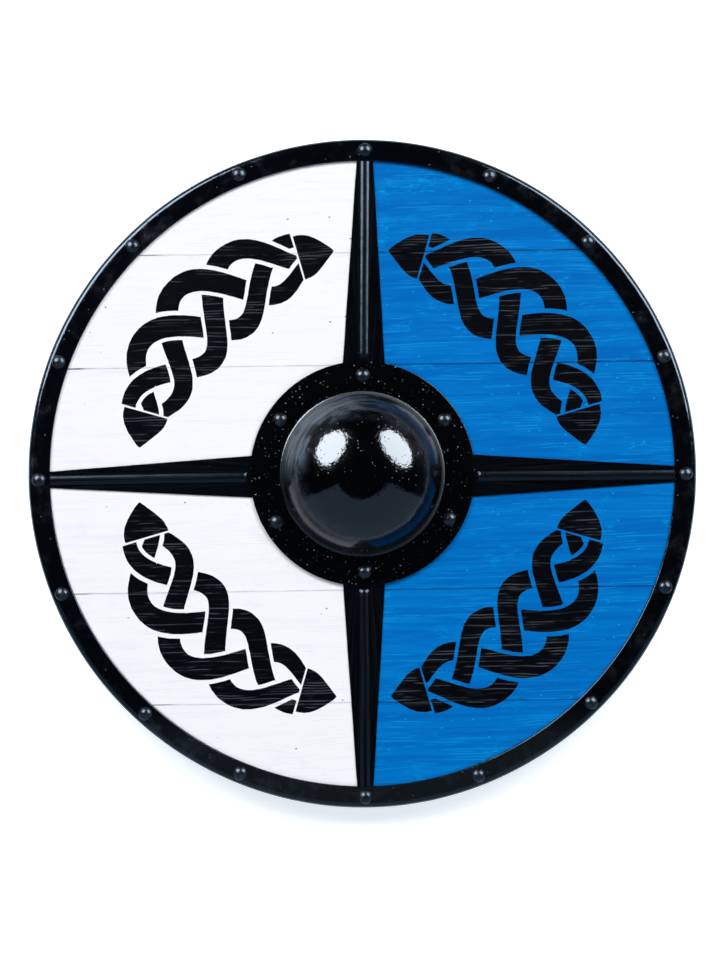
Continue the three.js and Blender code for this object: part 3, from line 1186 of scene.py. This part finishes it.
@dataclass
class Rim:
    """A steel channel folded round the boards, its front lip pressed down to them between the straps."""

    leg: float = 20.0 * MM
    sheet: float = 1.5 * MM
    bend: float = 5.0 * MM
    lip_round: float = 1.3 * MM
    lip_clearance: float = 0.35 * MM
    strap_half_angle: float = math.radians(1.7)
    lip_slope_angle: float = math.radians(1.5)
    wander: float = 0.28 * MM
    sides: int = 384

    def __post_init__(self) -> None:
        """Read the channel's size and place from the frame."""
        low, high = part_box("rim")
        self.back = low.z
        self.front = high.z
        self.radius = high.x
        self.board_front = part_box("board_3")[1].z
        # The rim's black is greyed towards its bottom edge by a painted sheen that stands in for the floor's
        # reflection.
        self.material = BlackSteel(
            "black_rim", roughness=0.13, dull=0.17, skin_depth=0.04 * MM, dent_depth=0.9 * MM,
            grit_depth=0.18 * MM, grit_share=0.2, low_sheen_from=-205 * MM, low_sheen_to=-250 * MM,
        ).material()
        middles = map(node_middle, nodes_named("strap_"))
        self.strap_angles = [math.atan2(middle.y, middle.x) for middle in middles]

    def lift(self, angle: float) -> float:
        """Tell how far the lip is raised at an angle: 1 over a strap and 0 between straps."""
        nearest = min(abs(math.remainder(angle - other, 2.0 * math.pi)) for other in self.strap_angles)
        return 1.0 - smooth(self.strap_half_angle, self.strap_half_angle + self.lip_slope_angle, nearest)

    def section(self, angle: float) -> list[Point]:
        """Draw the channel's cross-section at an angle as one loop.

        Args:
            angle: The angle round the shield.

        Returns:
            The loop's points.
        """
        edge = self.radius - self.leg
        under = self.front - self.sheet
        lip = lerp(self.board_front + self.lip_clearance, under, self.lift(angle))
        bend_at = self.radius - self.bend
        inside = self.bend - self.sheet
        hem = self.sheet / 2.0
        step_up = min(under - 0.2 * MM, lip + 0.2 * MM) if lip < under - 0.3 * MM else under - 0.01 * MM
        profile = [
            (edge, lip),
            *arc((edge + self.lip_round, self.front - self.lip_round), self.lip_round, 180.0, 90.0, 6),
            *[(lerp(edge, bend_at, share / 6.0), self.front) for share in range(2, 6)],
            *arc((bend_at, self.front - self.bend), self.bend, 90.0, 0.0, 8),
            *arc((bend_at, self.back + self.bend), self.bend, 0.0, -90.0, 8),
            *arc((edge + hem, self.back + hem), hem, -90.0, -270.0, 6),
            *arc((bend_at, self.back + self.bend), inside, -90.0, 0.0, 4),
            *arc((bend_at, self.front - self.bend), inside, 0.0, 90.0, 4),
            (edge + self.sheet + 0.3 * MM, under),
            (edge + self.sheet, step_up),
            (edge + self.sheet - 0.3 * MM, lip),
        ]
        cosine, sine = math.cos(angle), math.sin(angle)
        out = drift(2.4 * cosine, 2.4 * sine, 1.7) * self.wander - self.wander * 0.6
        lifted = drift(3.3 * cosine, 3.3 * sine, 6.1) * self.wander * 0.5
        points = []
        for radius, height in profile:
            swell = drift(cosine * 15.0, sine * 15.0, height * 90.0) * 0.10 * MM
            real = radius + out + swell * smooth(edge, self.radius, radius)
            points.append((real * cosine, real * sine, height + lifted * smooth(edge, self.radius, radius)))
        return points

    def build(self) -> None:
        """Make the rim."""
        draft = Draft()
        rows = [self.section(-2.0 * math.pi * side / self.sides) for side in range(self.sides)]
        draft.grid(rows, rows_close=True, caps=False)
        draft.piece("rim_channel", self.material, Slot.RIM, "rim")


@dataclass
class Straps:
    """Four tapered steel straps in a cross, each pressed with one round-nosed bead."""

    sheet: float = 1.5 * MM
    inner_width: float = 41.0 * MM
    outer_width: float = 13.0 * MM
    inner_radius: float = 80.0 * MM
    past_rivet: float = 6.0 * MM
    strays: tuple[float, ...] = (1.2, 1.8, -0.6, -1.4)
    bead_width: float = 9.5 * MM
    bead_height: float = 2.1 * MM
    bead_gap: float = 2.6 * MM
    bead_fade: float = 0.1 * MM
    rim_leg: float = 20.0 * MM
    edge_round: float = 0.45 * MM
    wander: float = 0.12 * MM
    stations: int = 110
    sides: tuple[str, ...] = ("top", "right", "bottom", "left")

    def __post_init__(self) -> None:
        """Read the straps' height and what holds their ends from the frame."""
        self.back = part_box("strap_top")[0].z
        self.flange_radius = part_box("boss")[1].x
        self.shield_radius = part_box("rim")[1].x
        self.rivets = nodes_named("rim_rivet_")
        self.material = BlackSteel(
            "black_straps", roughness=0.14, dull=0.12, skin_depth=0.04 * MM, dent_depth=0.4 * MM,
            grit_depth=0.14 * MM, grit_share=0.12, spokes=170.0,
            raised_above=self.back + self.sheet + 0.2 * MM, raised_dull=0.10, level=0.27,
        ).material()

    def bead_ends(self) -> tuple[float, float]:
        """Give how far along the strap the bead starts and ends."""
        start = self.flange_radius + self.bead_gap - self.inner_radius
        return start, self.shield_radius - self.rim_leg - self.inner_radius - 0.3 * MM

    def places(self, length: float) -> list[float]:
        """List the places along a strap where it is drawn, closer together at the bead's ends.

        Args:
            length: The strap's length.

        Returns:
            The places, from the boss outward.
        """
        start, end = self.bead_ends()
        places = [length * step / self.stations for step in range(self.stations + 1)]
        nose = [start + self.bead_width / 2.0 * share for share in (0.0, 0.03, 0.1, 0.2, 0.35, 0.55, 0.8)]
        ends = [*nose, end - 1.1 * self.bead_fade, end - 0.6 * self.bead_fade, end]
        kept = [place for place in places if min(abs(place - other) for other in ends) > 0.05 * MM]
        return sorted(kept + ends)

    def rise(self, along: float, across: float) -> float:
        """Find how high the bead stands at a place on the strap.

        Args:
            along: Distance from the strap's inner end.
            across: Distance from its middle line.

        Returns:
            The bead's height there.
        """
        start, end = self.bead_ends()
        half = self.bead_width / 2.0
        if along <= start or along >= end:
            return 0.0
        nose = clamp((along - start) / half)
        share = math.sqrt(max(1.0 - (1.0 - nose) ** 2, 0.0))
        share = min(share, 1.0 - smooth(end - self.bead_fade, end, along))
        height = self.bead_height * share
        half *= max(math.sqrt(share), 0.05)
        if height <= 0.0 or abs(across) >= half:
            return 0.0
        radius = (half * half + height * height) / (2.0 * height)
        return math.sqrt(max(radius * radius - across * across, 0.0)) - radius + height

    def section(self, along: float, length: float, number: int) -> list[Point]:
        """Draw a strap's cross-section as one loop, in the strap's own axes.

        Args:
            along: The place along the strap.
            length: The strap's length.
            number: The strap's number, which sets its unevenness.

        Returns:
            The loop's points.
        """
        width = lerp(self.inner_width, self.outer_width, along / length)
        width += drift(along * 30.0, number * 3.0, 0.5) * 0.35 * MM
        half = width / 2.0
        bead = self.bead_width / 2.0
        inner = [bead * math.sin(math.pi * (step / 20 - 0.5)) for step in range(21)]
        flats = [lerp(bead, half - self.edge_round, step / 5.0) for step in range(1, 6)]
        line = [-flat for flat in reversed(flats)] + inner + flats
        upper = []
        lower = []
        for across in line:
            wave = drift(along * 26.0, across * 40.0, number * 7.0) * self.wander
            curl = -0.35 * MM * (abs(across) / half) ** 6
            height = self.rise(along, across)
            upper.append((along, across, self.back + self.sheet + height + wave * 0.5 - self.wander * 0.5))
            lower.append((along, across, self.back + height * 0.9 + max(wave, 0.0) * 0.2))
            upper[-1] = (upper[-1][0], upper[-1][1], upper[-1][2] + curl * 0.4)
        drop = 0.4 * self.edge_round
        right = [(along, half - 0.3 * self.edge_round, self.back + self.sheet - drop),
                 (along, half, self.back + self.sheet - self.edge_round - drop),
                 (along, half, self.back + 0.1 * MM)]
        left = [(along, -across, height) for _, across, height in reversed(right)]
        return [*reversed(lower), *left, *upper, *right]

    def build(self) -> None:
        """Make every strap."""
        for number, side in enumerate(self.sides):
            inner = clock_point(self.inner_radius, 90.0 * number + self.strays[number])
            rivet = node_middle(self.rivets[number * len(self.rivets) // len(self.sides)])
            rivet.z = 0.0
            way = (rivet - inner).normalized()
            length = (rivet - inner).length + self.past_rivet
            aside = Vector((-way.y, way.x, 0.0))
            rows = []
            for place in self.places(length):
                loop = self.section(place, length, number)
                rows.append([(*(inner + way * along + aside * across).xy, height)
                             for along, across, height in loop])
            draft = Draft()
            draft.grid(rows, rows_close=False, caps=True)
            draft.piece(f"strap_{side}_pressed", self.material, Slot.STRAPS, f"strap_{side}")


@dataclass
class Boss:
    """A raised steel dome with a flat flange, slightly uneven from the hammer."""

    sheet: float = 2.0 * MM
    dome_radius: float = 73.5 * MM
    root: float = 2.2 * MM
    edge_round: float = 0.22 * MM
    dent: float = 0.42 * MM
    dent_size: float = 26.0 * MM
    finer: float = 2.7
    finer_share: float = 0.28
    dent_fade: float = 12.0 * MM
    sides: int = 224

    def __post_init__(self) -> None:
        """Read the boss's size and place from the frame."""
        low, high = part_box("boss")
        self.flange_radius = high.x
        self.flange_back = low.z
        self.top = high.z
        self.flange_front = self.flange_back + self.sheet
        self.foot = self.flange_front + self.root
        self.root_radius = self.dome_radius + self.root
        self.material = BossSteel(self.root_radius, self.dome_radius).material()

    def dome(self, wall: float, steps: int) -> list[tuple[float, float]]:
        """Draw the dome from its foot to its top, set in by a wall.

        Args:
            wall: How far the line is set in.
            steps: How many steps it has.

        Returns:
            The line's points, each a radius and a height.
        """
        radius = self.dome_radius - wall
        height = self.top - self.foot - wall
        points = []
        for step in range(steps + 1):
            angle = math.pi / 2 * step / steps
            points.append((radius * math.cos(angle), self.foot + height * math.sin(angle)))
        points[-1] = (0.0, points[-1][1])
        return points

    def profile(self) -> list[tuple[float, float]]:
        """Draw the whole profile, from the inside of the dome's top round to its outside.

        Returns:
            The profile's points, each a radius and a height.
        """
        edge = self.flange_radius
        inside = self.root + self.sheet
        rim_round = self.edge_round
        return [
            *reversed(self.dome(self.sheet, 30)),
            *arc((self.root_radius, self.foot), inside, 180.0, 270.0, 8)[1:],
            *[(lerp(self.root_radius, edge, share / 5.0), self.flange_back) for share in range(1, 5)],
            (edge - 0.3 * MM, self.flange_back),
            (edge, self.flange_back + 0.3 * MM),
            *arc((edge - rim_round, self.flange_front - rim_round), rim_round, 0.0, 90.0, 4),
            *[(lerp(edge, self.root_radius, share / 8.0), self.flange_front) for share in range(1, 8)],
            *arc((self.root_radius, self.foot), self.root, 270.0, 180.0, 8),
            *self.dome(0.0, 64)[1:],
        ]

    def shift(self, angle: float, radius: float, height: float) -> Point:
        """Give a real point of the boss, with the hammer's unevenness on the dome.

        Args:
            angle: The angle round the boss.
            radius: The distance out.
            height: The height.

        Returns:
            The point.
        """
        cosine, sine = math.cos(angle), math.sin(angle)
        rise = smooth(self.foot, self.foot + self.dent_fade, height)
        scale = 1.0 / self.dent_size
        x, y = radius * cosine, radius * sine
        uneven = drift(x * scale, y * scale, height * scale) * self.dent * rise
        scale *= self.finer
        uneven += drift(x * scale, y * scale, height * scale + 9.0) * self.dent * self.finer_share * rise
        steep = clamp(radius / self.dome_radius)
        grow = 1.0 + (uneven - 0.2 * self.dent) / self.dome_radius * steep
        lowered = (uneven - self.dent * 0.6) * (1.0 - steep) * rise
        return (x * grow, y * grow, height + lowered)

    def build(self) -> None:
        """Make the boss."""
        draft = Draft()
        draft.turned(self.profile(), self.sides, self.shift)
        draft.piece("boss_dome_and_flange", self.material, Slot.BOSS, "boss")


@dataclass
class Rivets:
    """Domed rivets round the rim and round the boss, each a little different from the hammer."""

    shank_radius: float = 2.0 * MM
    head_height: float = 3.6 * MM
    head_edge: float = 0.35 * MM
    tail_radius: float = 3.3 * MM
    tail_height: float = 1.6 * MM
    tail_crown: float = 0.55
    tail_undercut: float = 0.97
    head_undercut: float = 0.985
    undercut_height: float = 0.25 * MM
    head_sink: float = 0.15 * MM
    tail_steps: int = 5
    head_steps: int = 11
    uneven: float = 0.03
    lean: float = 0.05
    seat_gap: float = 0.3 * MM
    sides: int = 32

    def __post_init__(self) -> None:
        """Find the rivets in the frame."""
        self.names = nodes_named("rim_rivet_") + nodes_named("boss_rivet_")
        self.material = BlackSteel(
            "black_rivets", roughness=0.26, dull=0.14, skin_depth=0.04 * MM, dent_depth=0.1 * MM,
            grit_depth=0.08 * MM, grit_share=0.10, shade=(0.004, 0.005, 0.0065, 1.0),
            rubbed=(0.016, 0.018, 0.022, 1.0), dent_size=6.0 * MM, patch_size=5.0 * MM,
        ).material()

    def profile(self, low: float, high: float, head_radius: float) -> list[tuple[float, float]]:
        """Draw a rivet from the middle of its tail to the top of its head.

        Args:
            low: The height of the tail's end.
            high: The height of the head's top.
            head_radius: The head's radius.

        Returns:
            The profile's points, each a radius and a height.
        """
        seat = high - self.head_height - self.seat_gap * 0.5
        tail_seat = low + self.tail_height
        points = [(0.0, low)]
        for step in range(1, self.tail_steps + 1):
            angle = math.pi / 2 * step / self.tail_steps
            crown = self.tail_crown * self.tail_height * (1.0 - math.cos(angle))
            points.append((self.tail_radius * math.sin(angle), low + crown))
        points += [(self.tail_radius * self.tail_undercut, tail_seat), (self.shank_radius, tail_seat),
                   (self.shank_radius, seat), (head_radius * self.head_undercut, seat),
                   (head_radius, seat + self.undercut_height)]
        base = seat + self.head_edge
        reach = high - base
        ball = (head_radius ** 2 + reach ** 2) / (2.0 * reach)
        spread = math.asin(min(head_radius / ball, 1.0))
        for step in range(self.head_steps):
            angle = spread * (1.0 - step / self.head_steps)
            points.append((ball * math.sin(angle), high - ball * (1.0 - math.cos(angle))))
        points.append((0.0, high))
        return points

    def build(self) -> None:
        """Make every rivet."""
        for number, name in enumerate(self.names):
            low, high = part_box(name)
            middle = (low + high) / 2.0
            head_radius = (high.x - low.x) / 2.0 * (1.0 + drift(number * 1.7, 0.3, 0.9) * self.uneven)
            lean = Vector((drift(number * 2.3, 4.1, 0.2), drift(number * 2.9, 8.3, 0.7), 0.0)) * self.lean
            tail_top = low.z + self.tail_height

            def shift(angle: float, radius: float, height: float) -> Point:
                """Give a real point of this rivet, its head a little aslant.

                Args:
                    angle: The angle round the rivet.
                    radius: The distance out from its middle.
                    height: The height.

                Returns:
                    The point.
                """
                swell = 1.0 + drift(math.cos(angle) * 0.9, math.sin(angle) * 0.9, number * 3.1) * self.uneven
                x = radius * math.cos(angle) * swell
                y = radius * math.sin(angle) * swell
                on_head = smooth(high.z - self.head_height, high.z, height)
                slant = (lean.x * x + lean.y * y) * on_head if height > tail_top else 0.0
                return (middle.x + x, middle.y + y, height + slant - self.head_sink * on_head)

            draft = Draft()
            draft.turned(self.profile(low.z, high.z, head_radius), self.sides, shift)
            draft.piece(f"{name}_hammered", self.material, Slot.RIVETS, name)


@dataclass
class Grip:
    """A waisted wooden bar across the hand hole, with a sunk hole over each rivet that holds it."""

    end_width: float = 34.0 * MM
    waist_width: float = 27.0 * MM
    waist_length: float = 84.0 * MM
    shoulder: float = 20.0 * MM
    tip_depth: float = 11.0 * MM
    tip_length: float = 22.0 * MM
    edge: float = 4.2 * MM
    sunk_radius: float = 4.9 * MM
    sunk_depth: float = 3.1 * MM
    sunk_start: float = 5.0 * MM
    sunk_sides: int = 40
    stations: int = 96

    def __post_init__(self) -> None:
        """Read the bar's size from the frame."""
        low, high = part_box("grip")
        self.half = high.y
        self.depth = high.z
        self.material = GripWood(self.waist_length / 2.0).material()

    def section(self, y: float) -> list[Point]:
        """Draw the bar's cross-section at a place along it as one loop.

        Args:
            y: The place along the bar.

        Returns:
            The loop's points.
        """
        waist = self.waist_length / 2.0
        width = lerp(self.waist_width, self.end_width, smooth(waist, waist + self.shoulder, abs(y)))
        sloped = clamp((abs(y) - (self.half - self.tip_length)) / self.tip_length)
        back = (self.depth - self.tip_depth) * sloped
        half = width / 2.0
        edge = min(self.edge, (self.depth - back) * 0.4)
        corners = [(half - edge, back + edge, -90.0), (half - edge, self.depth - edge * 0.6, 0.0),
                   (-half + edge, self.depth - edge * 0.6, 90.0), (-half + edge, back + edge, 180.0)]
        loop = []
        for x, z, start in corners:
            flat = 1.0 if z < (back + self.depth) / 2.0 else 0.6
            for step in range(7):
                angle = math.radians(start + 15.0 * step)
                loop.append((x + edge * math.cos(angle), y, z + edge * flat * math.sin(angle)))
        return loop

    def build(self) -> None:
        """Make the grip."""
        places = eased_places(self.half, -self.half, self.stations)
        draft = Draft()
        draft.grid([self.section(y) for y in places], rows_close=False, caps=True)
        bar = draft.piece("grip_bar", self.material, Slot.GRIP, "grip")
        middles = map(node_middle, nodes_named("boss_rivet_"))
        self.sink(bar, [middle for middle in middles if abs(middle.x) < self.end_width / 4.0])

    def sink(self, bar: bpy.types.Object, middles: Iterable[Vector]) -> None:
        """Cut a round hole into the bar's back over each rivet.

        Args:
            bar: The bar.
            middles: The rivets' middles.
        """
        cutters = []
        for middle in middles:
            draft = Draft()
            profile = [(0.0, -self.sunk_start), (self.sunk_radius, -self.sunk_start),
                       (self.sunk_radius, self.sunk_depth), (0.0, self.sunk_depth)]
            draft.turned(profile, self.sunk_sides, lambda angle, radius, height: (
                middle.x + radius * math.cos(angle), middle.y + radius * math.sin(angle), height))
            cutter = draft.plain("sunk_hole")
            cutters.append(cutter)
            cut = bar.modifiers.new("sunk_hole", "BOOLEAN")
            cut.operation = "DIFFERENCE"
            cut.solver = "EXACT"
            cut.object = cutter
        bpy.context.view_layer.update()
        carved = bpy.data.meshes.new_from_object(bar.evaluated_get(bpy.context.evaluated_depsgraph_get()))
        bar.modifiers.clear()
        bar.data = carved
        shade(bar)
        for cutter in cutters:
            bpy.data.objects.remove(cutter)


class Light(Enum):
    """What a light shows in: reflections in gloss, or the light that spreads over all surfaces."""

    GLOSS = "gloss"
    SPREAD = "spread"


@dataclass
class Lamp:
    """One soft area light that faces a point on the shield."""

    name: str
    kind: Light
    width: float
    depth: float
    watts: float
    azimuth: float
    elevation: float
    distance: float
    aim: Point = (0.0, 0.0, 40.0 * MM)
    tint: tuple[float, float, float] = (1.0, 1.0, 1.0)

    def build(self) -> None:
        """Hang the light. Its azimuth is counted from +X towards +Y."""
        data = bpy.data.lights.new(self.name, "AREA")
        data.shape = "ELLIPSE"
        data.size = self.width
        data.size_y = self.depth
        data.energy = self.watts
        data.color = self.tint
        lamp = add_object(self.name, data)
        azimuth, elevation = math.radians(self.azimuth), math.radians(self.elevation)
        outward = Vector((math.cos(azimuth) * math.cos(elevation), math.sin(azimuth) * math.cos(elevation),
                          math.sin(elevation)))
        lamp.location = Vector(self.aim) + outward * self.distance
        lamp.rotation_mode = "QUATERNION"
        lamp.rotation_quaternion = (-outward).to_track_quat("-Z", "Y")
        lamp.visible_camera = False
        lamp.visible_glossy = self.kind is Light.GLOSS
        lamp.visible_diffuse = self.kind is Light.SPREAD
        log.info("%s hung", self.name)


@dataclass(frozen=True)
class CardGlow:
    """The faint light that a studio card gives back."""

    name: str
    shade: Colour
    strength: float

    def material(self) -> bpy.types.Material:
        """Wire the card.

        Returns:
            The material.
        """
        wiring = Wiring(self.name, self.shade)
        return wiring.finish(
            Base_Color=(0.0, 0.0, 0.0, 1.0),
            Specular_IOR_Level=0.0,
            Emission_Color=self.shade,
            Emission_Strength=self.strength,
        )


@dataclass
class Card:
    """A curved card standing round part of the shield, which only shows as a reflection in gloss."""

    name: str
    glow: CardGlow
    start: float
    end: float
    height: float
    radius: float = 0.72
    steps: int = 48

    def build(self) -> None:
        """Stand the card up. Its angles are counted in degrees from +X towards +Y."""
        points = []
        for step in range(self.steps + 1):
            angle = math.radians(lerp(self.start, self.end, step / self.steps))
            x, y = self.radius * math.cos(angle), self.radius * math.sin(angle)
            points += [(x, y, 0.0), (x, y, self.height)]
        faces = [(2 * step, 2 * step + 2, 2 * step + 3, 2 * step + 1) for step in range(self.steps)]
        card = Draft(points, faces).plain(self.name, self.glow.material())
        card.visible_camera = False
        card.visible_diffuse = False
        card.visible_shadow = False
        card.visible_transmission = False
        log.info("%s stands", self.name)


@dataclass
class Studio:
    """The floor, the lights and the camera straight above."""

    floor_half: float = 4.0
    floor_gap: float = 0.5 * MM
    world_shade: Colour = (0.85, 0.92, 1.0, 1.0)
    world_strength: float = 0.016
    photo_width_px: float = 720.0
    photo_height_px: float = 960.0
    shield_middle_px: tuple[float, float] = (362.4, 473.6)
    shield_span_px: float = 669.5
    roll: float = math.radians(-0.35)
    camera_distance: float = 3.0
    sensor: float = 36.0

    def floor(self) -> None:
        """Lay the floor under the shield."""
        half = self.floor_half
        corners = [(-half, -half, 0.0), (half, -half, 0.0), (half, half, 0.0), (-half, half, 0.0)]
        floor = Draft(corners, [(0, 1, 2, 3)]).plain("studio_floor", PaleFloor().material())
        floor.location.z = -self.floor_gap

    def lights(self) -> None:
        """Hang two soft boxes and two keys at the top corners and a fill below, and stand the cards."""
        white = (1.0, 0.97, 0.93)
        lamps = [
            Lamp("softbox_left", Light.GLOSS, width=1.18, depth=1.0, watts=76.0, azimuth=140.0,
                 elevation=38.0, distance=1.5, tint=white),
            Lamp("softbox_right", Light.GLOSS, width=1.3, depth=0.92, watts=70.0, azimuth=37.0,
                 elevation=34.0, distance=1.5, tint=white),
            Lamp("key_left", Light.SPREAD, width=2.4, depth=2.4, watts=100.0, azimuth=125.0,
                 elevation=52.0, distance=4.0),
            Lamp("key_right", Light.SPREAD, width=2.4, depth=2.4, watts=100.0, azimuth=55.0,
                 elevation=52.0, distance=4.0),
            Lamp("fill_below", Light.SPREAD, width=2.4, depth=1.6, watts=25.0, azimuth=270.0,
                 elevation=52.0, distance=2.6),
        ]
        grey = CardGlow("card_grey", (0.58, 0.80, 1.0, 1.0), strength=0.74)
        dark = CardGlow("card_dark", (0.7, 0.85, 1.0, 1.0), strength=0.05)
        cards = [
            Card("low_card", grey, start=203.0, end=337.0, height=1.24),
            Card("dark_wall", dark, start=-23.0, end=203.0, height=0.24),
        ]
        for part in (*lamps, *cards):
            part.build()
        world = bpy.data.worlds.new("dim_studio")
        world.use_nodes = True
        background = world.node_tree.nodes["Background"]
        background.inputs["Color"].default_value = self.world_shade
        background.inputs["Strength"].default_value = self.world_strength
        bpy.context.scene.world = world

    def camera(self) -> None:
        """Set the camera straight above, framed as the photograph is."""
        low, high = CAD_BOUNDS
        metres_per_px = (high.x - low.x) / self.shield_span_px
        data = bpy.data.cameras.new("camera")
        data.sensor_width = self.sensor
        data.lens = self.sensor * self.camera_distance / (self.photo_height_px * metres_per_px)
        camera = add_object("camera", data)
        right = (self.shield_middle_px[0] - self.photo_width_px / 2.0) * metres_per_px
        up = (self.photo_height_px / 2.0 - self.shield_middle_px[1]) * metres_per_px
        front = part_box("rim")[1].z
        middle = (low + high) / 2.0
        camera.location = (middle.x - right, middle.y - up, front + self.camera_distance)
        camera.rotation_euler = (0.0, 0.0, self.roll)
        bpy.context.scene.camera = camera

    def build(self) -> None:
        """Make the whole studio, and show colours as they are."""
        self.floor()
        self.lights()
        self.camera()
        bpy.context.scene.view_settings.view_transform = "Standard"


def main() -> None:
    """Build the shield piece by piece, then the studio."""
    logging.basicConfig(level=logging.INFO, format="%(message)s")
    for part in (Boards(), Rim(), Straps(), Boss(), Rivets(), Grip(), Studio()):
        part.build()
        log.info("%s done", type(part).__name__)


if __name__ == "__main__":
    main()
